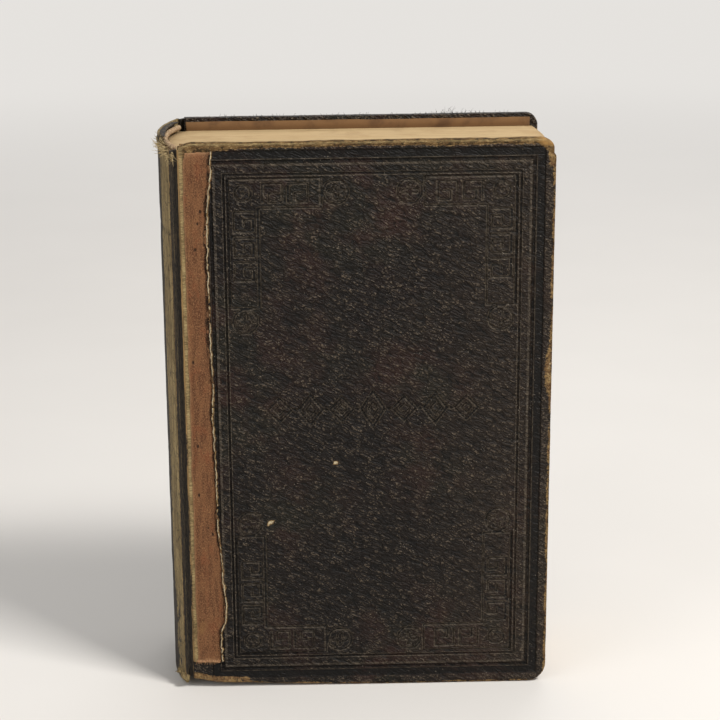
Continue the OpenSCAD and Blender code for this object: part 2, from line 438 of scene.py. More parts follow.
def leather(name):
    """Worn grained leather: slanting wrinkles over a fine pebble, pressed smooth in the tooling."""
    f = Finish(name, Specular_IOR_Level=0.19)
    tilt = math.radians(-27)
    slant = f.stretched(0.34, 1.0, 1.0, lean=tilt)
    stir = f.node("ShaderNodeTexNoise", {}, f.place, Scale=0.35, Detail=2.0, out="Color")
    stir = f.node("ShaderNodeVectorMath", {"operation": "SCALE"}, stir, Scale=1.5)
    bent = f.node("ShaderNodeVectorMath", {"operation": "ADD"}, slant, stir)
    wrinkle = (1 - abs(f.clouds(bent, 0.4, 2.0, 0.5) - 0.5) * 6).most(0.0)
    pebble = f.cells(f.stretched(0.6, 1.0, 1.0, lean=tilt), 0.85, "SMOOTH_F1")
    crease = f.cells(bent, 0.85, "DISTANCE_TO_EDGE").between(0.0, 0.24)
    fine = f.clouds(f.stretched(0.7, 1.0, 1.0, lean=tilt), 2.0, 4.0, 0.62)
    worn, dent = f.mark(), f.mark("pressed")
    inset = frame_inset(f)
    flat = (inset.between(3.2, 3.7) * inset.between(6.3, 5.9)).most(dent * 0.8)
    margin = inset.between(3.4, 3.0)
    height = (wrinkle * 0.7 + crease * 0.45 + (1 - pebble) * 0.45 + fine * 0.5) * (1 - flat * 0.58)
    height = height + margin * f.clouds(f.place, 1.3, 3.0) * 0.5
    patch = f.clouds(f.place, 0.03, 3.0)
    colour = f.mix(patch.between(0.4, 0.7) * 0.8, BLACK,
                   f.mix(f.clouds(f.place, 0.07).between(0.4, 0.6), OLIVE, BROWN))
    # lighter towards the fore-edge
    colour = f.mix(f.x.between(10.0, 62.0) * 0.45, colour, tone(50, 40, 31))
    # painted highlight on the crests of the wrinkles, partly rubbed wear
    crest_highlight_and_wear = height.between(1.2, 1.65) * fine.between(0.47, 0.62)
    colour = f.mix(crest_highlight_and_wear * 0.85, colour, CREST_HIGHLIGHT_AND_WEAR)
    # painted shade in the hollows of the grain
    colour = f.mix(height.between(0.9, 0.45) * 0.85, colour, SHADED_BLACK)
    # painted shade in the pressed tooling
    colour = f.mix(dent * 0.2, colour, SHADED_BLACK)
    # painted highlight along the tooled lines and on the walls of the ornaments
    lines = 0.0
    for at, half in ((6.15, 0.2), (7.9, 0.24), (8.3, 0.16), (10.65, 0.16), (11.75, 0.2)):
        lines = abs(inset - at).between(half, half * 0.35) + lines
    edges = dent.between(0.08, 0.4) * dent.between(0.95, 0.6) * inset.between(12.3, 12.5)
    glint = lines.least(1.0).most(edges * 0.8) * (0.3 + f.clouds(f.place, 0.6, 3.0).between(0.4, 0.6) * 0.6)
    colour = f.mix(glint, colour, tone(92, 82, 69))
    dust = f.cells(f.place, 0.85).between(0.19, 0.07) * f.clouds(f.place, 0.13, 2.0).between(0.48, 0.62)
    colour = f.mix(dust * 0.8, colour, SPECK)
    ragged = f.clouds(f.place, 1.0, 4.0, 0.68)
    rubbed = (worn.least(1.0) * 1.1 + (ragged - 0.5) * 1.5 * worn.between(0.02, 0.5)).between(0.42, 0.66)
    bare = f.mix(f.clouds(f.place, 0.5, 3.0).between(0.35, 0.65), tone(108, 80, 52), tone(148, 120, 78))
    bare = f.mix(f.clouds(f.place, 1.9, 3.0).between(0.5, 0.68) * 0.9, bare, tone(60, 45, 32))
    bare = f.mix((worn + (ragged - 0.5) * 0.9).between(1.02, 1.2), bare, tone(196, 180, 148))
    colour = f.mix(rubbed, colour, bare)
    rough = 0.4 + fine * 0.22 + rubbed * 0.3
    return f.done(colour, rough, height * (1 - rubbed * 0.4) + ragged * rubbed * 0.8, 0.85)


def suede(name):
    """Red-brown under side of the leather, left where its face has come away."""
    f = Finish(name, Specular_IOR_Level=0.2)
    nap = f.clouds(f.stretched(1, 1, 0.6), 3.0, 5.0, 0.7)
    streak = f.clouds(f.stretched(1, 1, 0.15), 0.8, 3.0)
    blot = f.clouds(f.stretched(1, 1, 0.5), 0.3, 4.0, 0.6)
    colour = f.mix(streak.between(0.36, 0.64), tone(120, 82, 54), tone(98, 64, 42))
    colour = f.mix(blot.between(0.5, 0.7) * 0.7, colour, tone(122, 72, 46))
    colour = f.mix(nap.between(0.5, 0.64) * 0.7, colour, tone(158, 118, 82))
    colour = f.mix(nap.between(0.47, 0.34) * 0.85, colour, tone(60, 38, 26))
    pale = f.clouds(f.stretched(1, 1, 0.5), 0.13, 3.0).between(0.6, 0.72)
    colour = f.mix(pale * 0.3, colour, tone(158, 120, 74))
    pits = (f.cells(f.stretched(1, 1, 0.6), 0.42).between(0.2, 0.1)
            * f.clouds(f.place, 0.09).between(0.5, 0.58))
    colour = f.mix(pits * 0.9, colour, tone(44, 30, 22))
    colour = f.mix(f.mark(), colour, tone(196, 152, 112))
    # painted shadow in the crack under the torn leather edge, partly black leather left there, and darker
    # pits
    colour = f.mix(f.mark("pressed") * (0.6 + nap.between(0.6, 0.4) * 0.4), colour, tone(34, 25, 19))
    return f.done(colour, 0.9, nap + streak * 0.4 - pits * 1.5, 0.3)


def pasteboard(name):
    """Grey-tan board, its rubbed edge fibrous."""
    f = Finish(name, Specular_IOR_Level=0.2)
    fibre = f.clouds(f.stretched(0.35, 2.5, 1.6), 1.6, 5.0, 0.7, bend=0.6)
    blot = f.clouds(f.place, 0.35, 4.0, 0.6)
    colour = f.mix(blot.between(0.38, 0.62), tone(118, 92, 58), tone(88, 64, 38))
    colour = f.mix(fibre.between(0.54, 0.64) * 0.8, colour, tone(166, 140, 96))
    colour = f.mix(fibre.between(0.47, 0.36) * 0.9, colour, tone(52, 40, 24))
    stain = f.clouds(f.place, 0.6, 4.0, 0.7).between(0.51, 0.58)
    colour = f.mix(stain * (1 - f.mark("pressed")) * 0.8, colour, tone(42, 34, 22))
    # painted highlight on the head's fore corner and far edge, carried in the wear
    colour = f.mix(f.mark().least(1.0) * (0.3 + blot.between(0.38, 0.6) * 0.55), colour, tone(180, 138, 80))
    # painted highlight along the head, carried in the pressing
    colour = f.mix(f.mark("pressed") * (0.45 + fibre.between(0.42, 0.6) * 0.5), colour, tone(190, 168, 120))
    return f.done(colour, 0.9, fibre * 1.2 + blot * 0.6, 0.3)


def paper(name, base, edge, lines=True, speckle=0.5):
    """Toned leaves: on their edges the single leaves show as fine lines."""
    f = Finish(name, Specular_IOR_Level=0.3)
    layers = f.clouds(f.stretched(0.02, 5.0, 0.02), 1.0, 3.0, 0.7)
    ply = f.clouds(f.stretched(0.012, 1.2, 0.012), 1.0, 2.0)
    fox = f.clouds(f.place, 0.11, 4.0, 0.6)
    colour = f.mix(fox.between(0.45, 0.75) * speckle, base, edge)
    if lines:
        colour = f.mix(layers.between(0.52, 0.68) * 0.6, colour, edge)
        colour = f.mix(ply.between(0.5, 0.7) * 0.35, colour, tone(150, 124, 82))
    tooth = f.clouds(f.place, 4.0, 3.0)
    return f.done(colour, 0.82 + tooth * 0.1, layers * (1.0 if lines else 0.1) + tooth * 0.25, 0.12)


def plain_fibre(name, low, high, scale, depth=0.2):
    """Hemp, lining paper and sewing silk: two tones along fine fibres."""
    f = Finish(name, Specular_IOR_Level=0.25)
    fibre = f.clouds(f.place, scale, 4.0, 0.65)
    twist = f.node("ShaderNodeTexWave", {"wave_type": "BANDS", "bands_direction": "DIAGONAL"}, f.place,
                   Scale=0.8, Distortion=1.5, Detail=2.0)
    colour = f.mix(fibre.between(0.35, 0.65), low, high)
    colour = f.mix(twist.between(0.6, 1.0) * 0.3, colour, low)
    colour = f.mix(f.mark() * 0.8, colour, tone(92, 84, 66))
    return f.done(colour, 0.85 + fibre * 0.1, fibre + twist * 0.4, depth)


def spine_finish(name):
    """Spine leather: black-brown, rubbed to khaki at the shoulders."""
    f = Finish(name, Specular_IOR_Level=0.3)
    worn = f.mark()
    grain = f.clouds(f.stretched(1, 1, 0.7), 1.5, 5.0, 0.6)
    cracks = f.cells(f.stretched(1.2, 1.2, 0.4), 0.5, "DISTANCE_TO_EDGE").between(0.0, 0.06)
    streak = f.clouds(f.stretched(0.9, 0.9, 0.05), 1.1, 3.0, 0.6)
    blot = f.clouds(f.stretched(1, 1, 0.5), 0.4, 4.0, 0.65)
    dark = f.mix(grain.between(0.4, 0.65), tone(26, 22, 19), tone(60, 50, 40))
    dark = f.mix(blot.between(0.5, 0.75) * 0.5, dark, tone(82, 62, 42))
    pale = f.mix(streak.between(0.42, 0.58), tone(116, 98, 64), tone(150, 130, 90))
    pale = f.mix(streak.between(0.6, 0.7) * 0.7, pale, tone(172, 150, 108))
    pale = f.mix(blot.between(0.56, 0.66) * 0.75, pale, tone(70, 54, 34))
    pale = f.mix(grain.between(0.45, 0.33) * 0.6, pale, tone(66, 54, 34))
    rubbed = (worn.least(1.0) + (blot - 0.5) * 1.3 + (grain - 0.5) * 0.5).between(0.42, 0.6)
    colour = f.mix(rubbed, dark, pale)
    colour = f.mix((1 - cracks) * 0.6, colour, tone(34, 27, 20))
    # painted shade in the pressed band lines
    colour = f.mix(f.mark("pressed") * 0.55, colour, tone(22, 18, 15))
    colour = f.mix(worn.between(1.1, 1.3), colour, tone(196, 174, 138))
    return f.done(colour, 0.62 + grain * 0.2 + rubbed * 0.1, grain * 0.7 + cracks * 0.4 - rubbed * 0.3, 0.28)


def joint_finish(name):
    """The groove at the joint: dark, dusty and creased lengthwise."""
    f = Finish(name, Specular_IOR_Level=0.35)
    worn = f.mark()
    grain = f.clouds(f.stretched(1.5, 1.5, 0.5), 1.4, 5.0, 0.6)
    crease = f.clouds(f.stretched(1.6, 1.6, 0.06), 1.2, 3.0)
    colour = f.mix(grain.between(0.38, 0.66), tone(26, 22, 18), tone(58, 50, 40))
    colour = f.mix(crease.between(0.56, 0.72) * 0.5, colour, tone(84, 68, 48))
    colour = f.mix((worn + (grain - 0.5) * 0.7).between(0.4, 0.65), colour,
                   f.mix(crease.between(0.4, 0.6), tone(160, 128, 82), tone(110, 88, 56)))
    return f.done(colour, 0.7 + grain * 0.2, grain + crease, 0.2)


FRONT_LEATHER = leather("tooled_black_leather")
PLAIN_LEATHER = spine_finish("spine_leather")
JOINT_LEATHER = joint_finish("joint_leather")
SUEDE = suede("red_brown_suede")
BOARD = pasteboard("rubbed_pasteboard")
LEAVES = paper("bible_paper", tone(184, 158, 118), tone(156, 128, 90))
ENDPAPER = paper("toned_endpaper", tone(186, 160, 116), tone(152, 122, 80), lines=False, speckle=0.8)
PASTEDOWN = paper("stained_pastedown", tone(116, 84, 52), tone(84, 58, 35), lines=False, speckle=0.9)
LINING = plain_fibre("lining_paper", tone(150, 128, 90), tone(186, 164, 122), 1.2)
HEMP = plain_fibre("twisted_hemp", tone(150, 128, 88), tone(206, 184, 140), 2.0)
SILK = plain_fibre("band_thread", tone(142, 112, 86), tone(188, 164, 130), 1.6)


# ---------------------------------------------------------------- tooling pressed into the leather

FAR = 99.0                              # further than any pressed line reaches
FRET = 9.5                              # width of the fret in a corner ornament


def stamp(d, half, edge=0.28):
    """Depth share of a pressed line of that half width, at distance d."""
    return 1 - smooth((d - half + edge / 2) / edge)


def to_segment(x, z, a, b):
    """Distance to the straight line from a to b."""
    ax, az, bx, bz = *a, *b
    vx, vz = bx - ax, bz - az
    t = np.clip(((x - ax) * vx + (z - az) * vz) / (vx * vx + vz * vz + 1e-12), 0, 1)
    return np.hypot(x - ax - t * vx, z - az - t * vz)


def to_chain(x, z, points):
    """Distance to a line through several points."""
    d = np.full(np.shape(x), FAR)
    for a, b in zip(points[:-1], points[1:]):
        d = np.minimum(d, to_segment(x, z, a, b))
    return d


def fret_leg(length, width):
    """A stepped key pattern between two lines: own design, drawn along one leg."""
    chains = [[(0, 0), (length, 0), (length, width), (width, width)]]
    unit = width - 3.2
    start = width + 1.6
    while start + unit < length - 1:
        s, e, low, high = start, start + unit, 1.6, width - 1.6
        mid = (low + high) / 2
        chains.append([(s, high), (s, low), (e, low), (e, high),
                       (s + 2.1, high), (s + 2.1, mid), (e - 1.9, mid)])
        start += unit + 2.0
    return chains


def corner_depth(p, q):
    """Depth share of one corner ornament; p runs along the head or tail, q along the fore-edge."""
    d = np.full(np.shape(p), FAR)
    for chain in fret_leg(30.0, FRET):
        d = np.minimum(d, to_chain(p, q, chain))
    for chain in fret_leg(43.0, FRET):
        d = np.minimum(d, to_chain(q, p, chain))
    depth = stamp(d, 0.38)
    for cp, cq in ((34.8, FRET / 2), (FRET / 2, 47.8)):
        r = np.hypot(p - cp, q - cq)
        a = np.arctan2(q - cq, p - cp)
        depth = np.maximum(depth, stamp(np.abs(r - 4.0), 0.4))
        depth = np.maximum(depth, stamp(np.abs(r - (1.9 + 0.75 * np.cos(4 * a))), 0.36))
    r = np.hypot(p - FRET / 2, q - FRET / 2)
    depth = np.maximum(depth, stamp(np.abs(r - 2.6), 0.4))
    return np.maximum(depth, stamp(r, 0.7))


def lozenges(x, z, middle_x, middle_z):
    """A row of pressed lozenges and beads in place of a title."""
    depth = np.zeros(np.shape(x))
    for i in range(-3, 4):
        px = x - middle_x - i * 10.4
        tall = 6.2 if i == 0 else 4.2 + (i % 2 == 0)
        d = np.abs(px) / 3.9 + np.abs(z - middle_z) / tall
        depth = np.maximum(depth, stamp(np.abs(d - 1) * 3.2, 0.5))
        depth = np.maximum(depth, stamp(np.abs(d - 0.42) * 3.2, 0.36))
        if i < 3:
            depth = np.maximum(depth, stamp(np.hypot(px - 5.2, z - middle_z), 0.7))
    return depth


def tooling(x, z, titled):
    """Depth in millimetres of everything pressed into a board's leather."""
    left = HINGE + FRAME_SHIFT
    inset = np.minimum(np.minimum(FORE - x, x - left), np.minimum(HEIGHT - z, z))
    wide = smooth((inset - 3.2) / 0.5) * (1 - smooth((inset - 5.7) / 0.4))
    depth = 0.16 * wide
    depth += 0.26 * stamp(np.abs(inset - 6.95), 0.42)
    depth += 0.24 * stamp(np.abs(inset - 11.15), 0.26)
    depth -= 0.1 * stamp(np.abs(inset - 6.1), 0.2) + 0.1 * stamp(np.abs(inset - 8.1), 0.5)
    depth -= 0.08 * stamp(np.abs(inset - 11.85), 0.25) + 0.06 * stamp(np.abs(inset - 10.6), 0.2)
    for p in (FORE - ORNAMENT_IN - x, x - left - ORNAMENT_IN):
        for q in (HEIGHT - ORNAMENT_IN - z, z - ORNAMENT_IN):
            near = (p > -2) & (p < 42) & (q > -2) & (q < 54)
            depth[near] += PRESSED * corner_depth(p[near], q[near])
    if titled:
        near = np.abs(z - TITLE_Z) < 8
        depth[near] += PRESSED * lozenges(x[near], z[near], (HINGE + 9 + FORE) / 2 - 3, TITLE_Z)
    return depth


# ---------------------------------------------------------------- boards and their leather

LINES = [(3.0, 3.8), (5.8, 8.8), (10.6, 12.2)]      # where the frame's edges and lines lie, inwards
TEAR_PLACES = [0, 8, 21.5, 24, 29, 34, 40, 60, 90, 120, 150, 165, 180, 185, 192]
TEAR_WIDTHS = [9.5, 9.6, 9.9, 11.2, 11.7, 11.5, 10.8, 9.6, 9.2, 9.0, 8.7, 8.8, 10.0, 10.4, 10.9]


def tear(z):
    """Where the torn edge of the front leather runs, measured from the hinge."""
    return np.interp(z, TEAR_PLACES, TEAR_WIDTHS) + 0.5 * torn(z, 41) + 0.16 * wander(z, 1.3, 47)


def tail_lift(x):
    """The boards' tails are worn round at the spine edge."""
    return 1.6 * (1 - smooth((x - HINGE) / 10.5)) ** 1.3 + 1.7 * np.exp(-((x - HINGE) / 38) ** 2)


def lifted(x, z):
    """How far the worn tail raises each point of a board."""
    return tail_lift(x) * np.clip(1 - z / TAIL_FADE, 0, 1)


def cover_grid(worn_head, z_top):
    """Columns and rows over a board's face, closer together at the tooling and the tear."""
    left = HINGE + FRAME_SHIFT
    x_marks = [(left + a, left + b) for a, b in LINES] + [(FORE - b, FORE - a) for a, b in LINES]
    z_marks = LINES + [(HEIGHT - b, HEIGHT - a) for a, b in LINES]
    if worn_head:
        z_marks.append((TITLE_Z - 7, TITLE_Z + 7))
        x_marks.append((HINGE + 5, HINGE + 12))
    return steps(HINGE, FORE - SOFT, 0.55, x_marks, 0.36), steps(SOFT, z_top, 0.62, z_marks, 0.4)


def front_wear(x, z, torn_part, from_tear, from_top):
    """Wear that only the front board's leather has."""
    broken = 0.9 + 0.35 * wander(z, 6, 10) + 0.35 * wander(z, 0.9, 13) + 0.2 * wander(z, 0.5, 14)
    tear_width = 0.58 + 0.2 * wander(z, 1.3, 15)
    wear = [1.5 * np.exp(-(from_tear / tear_width) ** 2) * torn_part * smooth(broken),
            (0.75 + 0.3 * mottle(x, z, 1.6, 19)) * smooth((x - FORE + 4) / 2.5)
            * smooth((z - HEIGHT + 13) / 6),
            0.5 * np.exp(-(from_top / 0.6) ** 2),
            smooth(1.4 - np.hypot((x - FORE) / 2.7, (z - 113) / 10))]
    for scuff_x, scuff_z in ((50.0, 82.2), (27.6, 60.8)):
        spot = np.hypot(x - HINGE - scuff_x, (z - scuff_z) * 1.5) + 0.9 * mottle(x, z, 0.7, 18)
        wear.append(1.4 * smooth((1.25 - spot) / 0.6))
    return wear


def edge_wear(x, z, worn_head):
    """Wear along the fore-edge and the tail of either board's leather."""
    from_tail = tail_lift(x) - z
    spot = smooth((HINGE + 22 + 4 * wander(x * 1.3 + z, 2.5, 20) - x) / 4)
    return [(0.6 + 0.3 * mottle(x, z, 4, 21) * worn_head)
            * smooth((1.2 + 0.3 * worn_head - (FORE - x)) / 0.8),
            (0.45 + 0.25 * mottle(x, z, 5, 12)) * smooth((1.7 + from_tail) / 1.3),
            0.8 * smooth((x - FORE + 3.2) / 2.6) * smooth((5.2 - z) / 3),
            0.95 * spot * smooth((3.0 + from_tail) / 1.1)]


def cover(side, worn_head):
    """Leather over a board: face, wrapped edges and turn-ins in one closed skin."""
    shape = Shape()
    z_top = HEIGHT - (HEAD_WORN if worn_head else SOFT)
    cols, rows = cover_grid(worn_head, z_top)
    X, Z = np.meshgrid(cols, rows, indexing="ij")
    x, z = soften(X, Z, FORE - TAIL_R, TAIL_R, TAIL_R - SOFT, 1, -1)
    if worn_head:
        edge = tear(Z) * smooth((Z - TEAR_FROM + 0.4 * wander(Z, 1.0, 5)) / 0.6)
        x = x + edge * np.clip(1 - (X - HINGE) / 16, 0, 1)
        corner = smooth((x - (FORE - 6.5)) / 6.0)
        left = np.exp(-np.maximum(x - (HINGE + 9), 0) / 9)
        top = z_top + 0.35 * torn(x, 77) - 3.4 * corner - 1.1 * left
        z = z + (top - z_top) * smooth((Z - (z_top - HEAD_FADE)) / HEAD_FADE)
    else:
        x, z = soften(x, z, FORE - HEAD_R, HEIGHT - HEAD_R, HEAD_R - SOFT, 1, 1)
    z = z + lifted(x, z)
    depth = tooling(x, z, worn_head)
    near_edge = np.minimum(np.minimum(FORE - x, z), 9 if worn_head else HEIGHT - z)
    rounding = 0.35 * np.clip(1 - (near_edge - SOFT) / 1.2, 0, 1) ** 2
    relief = 0.05 * mottle(x, z, 7, 3) + 0.03 * mottle(x, z, 2.2, 4)
    y = FACE - 0.02 - depth - rounding + relief
    wear = [np.zeros_like(x)] + edge_wear(x, z, worn_head)
    if worn_head:
        from_tear, from_top = x - (HINGE + edge), top - z
        lip = np.exp(-(from_tear / 0.9) ** 2) * (Z > TEAR_FROM)
        y = y + lip * (0.2 + 0.25 * np.clip(wander(z, 5, 9), 0, 1))
        y = y - 0.15 * np.exp(-(from_top / 0.7) ** 2)
        wear += front_wear(x, z, Z > TEAR_FROM + 1, from_tear, from_top)
    else:
        wear.append(0.42 * smooth((1.0 - (HEIGHT - z)) / 0.8))
    face = shape.add(np.stack([x, side * y, z], -1), np.maximum.reduce(wear), np.clip(depth / PRESSED, 0, 1))
    shape.quads(face)

    # the border that wraps: tail, fore-edge and, where the head is whole, head
    places = [(c, 0.0) for c in cols[:-1]] + [(FORE, 0.0)] + [(FORE, r) for r in rows[1:]]
    border = list(face[:-1, 0]) + list(face[-1, :])
    if not worn_head:
        places[-1] = (FORE, HEIGHT)
        places += [(c, HEIGHT) for c in cols[-2::-1]]
        border += list(face[-2::-1, -1])
    rim = Rim(places, HINGE, FORE, 0, HEIGHT, HEAD_R, TAIL_R, spine_side=False)
    low = rim.base[:, 1]
    along = np.arange(len(places)) * 0.6
    wavy = 0.5 * wander(along, 14, 21)
    edge_worn = 0.53 + 0.09 * worn_head + 0.22 * wander(along, 3, 60)
    # each ring's distance in from the outline and its depth
    rings = [(SOFT - 0.28, FACE - 0.14), (0.12, FACE - 0.34), (0.0, FACE - 0.7), (0.0, (FACE + TURNED) / 2),
             (0.0, TURNED + 0.55), (0.1, TURNED + 0.2), (0.4, TURNED), (1.5, TURNED),
             (TURN_IN * 0.35, TURNED), (TURN_IN * 0.7, TURNED), (TURN_IN, TURNED + 0.02), (TURN_IN, BOARD_IN),
             (WRAP + 0.02, BOARD_IN), (WRAP + 0.02, BOARD_OUT)]
    loops = [border]
    for number, (inset, depth_at) in enumerate(rings):
        p = rim.at(inset)
        if inset == TURN_IN:
            p = p + rim.out * wavy[:, None]
        lift = lifted(p[:, 0], p[:, 1])
        rough_edge = 0.08 * torn(along, 31 + number) if number < 7 else 0
        mark = edge_worn if number < 6 else np.full(len(p), 0.3 if number < 8 else 0.05)
        if worn_head:
            p[:, 1] += (top[-1, -1] - z_top) * smooth((low - (z_top - HEAD_FADE)) / HEAD_FADE)
        else:
            mark = mark * np.where(low > HEIGHT - 4, 0.45, 0.75)
        ring = np.stack([p[:, 0] - rim.out[:, 0] * rough_edge, np.full(len(p), side * depth_at),
                         p[:, 1] + lift - rim.out[:, 1] * rough_edge], 1)
        loops.append(shape.add(ring, mark))
    shape.strip(*loops)
    shape.cap([loop[0] for loop in loops])
    shape.cap([loop[-1] for loop in loops][::-1])

    def drop(px, pz, mark):
        """The points of an open side where they meet the board."""
        return list(shape.add(np.stack([px, np.full(len(px), side * BOARD_OUT), pz], -1), mark))

    under = list(loops[-1])
    tied = [under[0]] + drop(x[0, 1:], z[0, 1:], 0.4)
    if worn_head:
        tied_head = [tied[-1]] + drop(x[1:-1, -1], z[1:-1, -1], 0.6) + [under[-1]]
        shape.strip(face[0, :], tied)
        shape.strip(face[:, -1], tied_head)
        shape.cap(under + tied_head[-2:0:-1] + tied[:0:-1])
    else:
        tied[-1] = under[-1]
        shape.strip(face[0, :], tied)
        shape.cap(under + tied[-2:0:-1])
    return shape


def board(side, worn_head):
    """A pasteboard, its head and corners rubbed soft where the leather is gone."""
    shape = Shape()
    x0, x1, z0, z1 = HINGE, BOARD_HIGH[0], BOARD_LOW[2], BOARD_HIGH[2]
    r_head, r_tail, e = HEAD_R - WRAP, TAIL_R - WRAP, 0.5
    cols = steps(x0 + e, x1 - e, 1.3, [(x0, x0 + 3), (x1 - 6, x1)], 0.45)
    rows = steps(z0 + e, z1 - e, 3.0, [(z1 - 5, z1), (z0, z0 + 3)], 0.35)
    X, Z = np.meshgrid(cols, rows, indexing="ij")
    x, z = soften(X, Z, x1 - r_head, z1 - r_head, r_head - e, 1, 1)
    x, z = soften(x, z, x1 - r_tail, z0 + r_tail, r_tail - e, 1, -1)
    rough = 0.35 if worn_head else 0.0

    def worn_down(px, pz):
        """Lumps on the bare head and the lift of the tail."""
        head = smooth((pz - (z1 - 4)) / 3)
        px = px - rough * 0.3 * head * mottle(px, pz, 1.1, 8)
        pz = pz - rough * head * (0.35 + 0.55 * torn(px, 90) + 0.5 * smooth((px - x1 + 5) / 4)
                                  + 4.0 * smooth((x0 + 4.5 - px) / 5.5))
        return px, pz + lifted(px, pz)

    head = smooth((z - (z1 - 3.0)) / 1.4)
    swell = rough * head * (0.25 + 0.5 * mottle(x, z, 1.4, 15) + 0.35 * mottle(x, z, 0.6, 16))
    # painted highlight on the bare fore corner of the head, kept as the wear
    gone = worn_head * (0.9 * smooth((x - (x1 - 7)) / 4) * head)
    px, pz = worn_down(x, z)
    # painted highlight along the top of the bare head, also pale along the spine-side edge, kept as the
    # pressing
    pale = worn_head * np.maximum(0.7 * smooth((z - (z1 - 1.3)) / 1.0) * (0.7 + 0.5 * mottle(x, z, 3, 17)),
                                  0.75 * smooth((x0 + 2.0 - x) / 0.8) * (0.8 + 0.5 * mottle(z, x, 2, 18)))
    y = side * (BOARD_OUT - 0.02 + swell * 0.9)
    face = shape.add(np.stack([px, y, pz], -1), gone, np.clip(pale, 0, 1))
    shape.quads(face)
    ends = np.meshgrid([x0, *cols[1:-1], x1], [z0, *rows[1:-1], z1], indexing="ij")
    rim = Rim(around(np.stack(ends, -1))[:-1], x0, x1, z0, z1, r_head, r_tail)
    loops = [around(face)[:-1]]
    thick = BOARD_OUT - BOARD_IN
    # each ring's distance in from the outline and its share of the thickness
    rings = [(0.18, 0.03), (0.0, 0.14), (0.0, 0.38), (0.0, 0.62), (0.02, 0.86), (0.2, 0.97), (0.6, 1.0)]
    for number, (inset, share) in enumerate(rings):
        p = rim.at(inset)
        px, pz = worn_down(p[:, 0], p[:, 1])
        head = smooth((p[:, 1] - (z1 - 3)) / 1.4)
        along = np.arange(len(p)) * 0.45
        fuzz = rough * head * 0.5 * torn(along, 130 + 3 * number)
        ring = np.stack([px, np.full(len(p), side * (BOARD_OUT - thick * share)), pz + fuzz], 1)
        # painted highlight on the rubbed fore corner and along the far edge of the head
        lit = worn_head * head * (0.9 * smooth((p[:, 0] - (x1 - 7)) / 4) + 0.35 * (number > 4))
        far_edge_highlight = worn_head * head * (number > 3) * smooth(0.75 + 0.8 * torn(along, 170))
        loops.append(shape.add(ring, lit, far_edge_highlight))
    loops = [np.concatenate([loop, loop[:1]]) for loop in loops]
    shape.strip(*loops)
    shape.cap(loops[-1][:-1])
    return shape


def suede_strip():
    """The bare strip beside the front joint; it runs under the torn edge and is frayed at its lower end."""
    shape = Shape()
    foot, top = STRIP_LOW[2] + 3.3, STRIP_HIGH[2] - 1.7
    cols = np.linspace(0, 1, 25)
    rows = steps(foot, top, 0.8, [(0, 14), (184, 192)], 0.3)
    share, Z = np.meshgrid(cols, rows, indexing="ij")
    left = HINGE + 1.55 + 0.3 * torn(Z, 51) + 0.9 * smooth((Z - 184) / 5)
    right = HINGE + tear(Z) + 0.25
    x = left + (right - left) * share
    low_end = np.clip(1 - (Z - foot) / 5, 0, 1)
    z = Z + 0.35 * torn(x * 2.2, 53) * low_end + 0.5 * torn(x * 1.4, 56) * np.clip(1 - (top - Z) / 3, 0, 1)
    across = (right - left) * share
    swell = 0.07 * mottle(x, z, 3, 54) + 0.05 * mottle(x, z, 1, 55)
    from_tear = (right - 0.25 - 0.12 * torn(Z, 58)) - x
    nibbled = 0.35 * mottle(x * 1.4, z, 0.8, 60)
    # the crack beside the torn edge is sunk; its dark colour, kept as the pressing, is painted shadow under
    # the lifted leather edge, partly black leather left on the strip
    shaded_crack = smooth((0.75 + 0.35 * wander(Z, 5, 59) + 0.3 * (Z > 120) + nibbled - from_tear) / 0.35)
    y = BOARD_OUT + 0.3 + swell - 0.2 * np.exp(-across / 0.4) - 0.26 * shaded_crack
    y = y + 0.36 * smooth((foot + 1.5 - Z) / 1.2) * (1 - shaded_crack)
    pits = smooth((mottle(x, z, 1.2, 57) - 0.5) / 0.2) * smooth((share - 0.72) / 0.15) * (Z > 120)
    y = y - 0.15 * pits
    fringe = 0.9 * np.exp(-((Z - foot) / 0.6)) + 0.45 * np.exp(-(across / 0.35) ** 2)
    fringe = np.maximum(fringe, 0.5 * np.exp(-((top - Z) / 0.7)))
    # the pressing carries the crack's painted shadow and the darker pits
    index = shape.add(np.stack([x, -y, z], -1), fringe, np.clip(shaded_crack + 0.6 * pits, 0, 1))
    shape.quads(index)
    border = around(index)[:-1]
    base = np.concatenate(shape.points)[border]
    lifted = base[:, 2] < foot + 1.2
    base[:, 1] = np.where(lifted, base[:, 1] + 0.14, -(BOARD_OUT + 0.01))
    low = shape.add(base, 0.2)
    shape.strip(np.append(border, border[0]), np.append(low, low[0]))
    shape.cap(low)
    rng = np.random.default_rng(600)
    for _ in range(70):                 # frayed ends over the whole leather below
        bx = HINGE + 1.0 + 8.0 * rng.uniform()
        length = rng.uniform(0.2, 0.9)
        start = foot + rng.uniform(0.0, 0.7)
        path = [(bx, -(FACE + 0.02), start + 0.5), (bx + rng.uniform(-0.1, 0.1), -(FACE + 0.1), start),
                (bx + rng.uniform(-0.3, 0.3), -(FACE + 0.06 + rng.uniform(0, 0.12)), start - length)]
        shape.strand(path, 0.1, 0.03, 4, rng.uniform(0.5, 1.0))
    for _ in range(60):                 # fibres along the hinge side and the torn edge
        z_at = rng.uniform(10, 188)
        if rng.uniform() < 0.55:
            bx, way = HINGE + 0.9, -1
        else:
            bx, way = HINGE + float(tear(z_at)) - 0.2, rng.choice([-1, 1])
        path = [(bx, -(BOARD_OUT + 0.3), z_at),
                (bx + way * 0.3, -(BOARD_OUT + 0.55), z_at + rng.uniform(-0.4, 0.4)),
                (bx + way * rng.uniform(0.3, 0.9), -(BOARD_OUT + rng.uniform(0.45, 0.75)),
                 z_at + rng.uniform(-1.2, 0.8))]
        shape.strand(path, 0.06, 0.02, 4, rng.uniform(0.6, 1.0))
    return shape


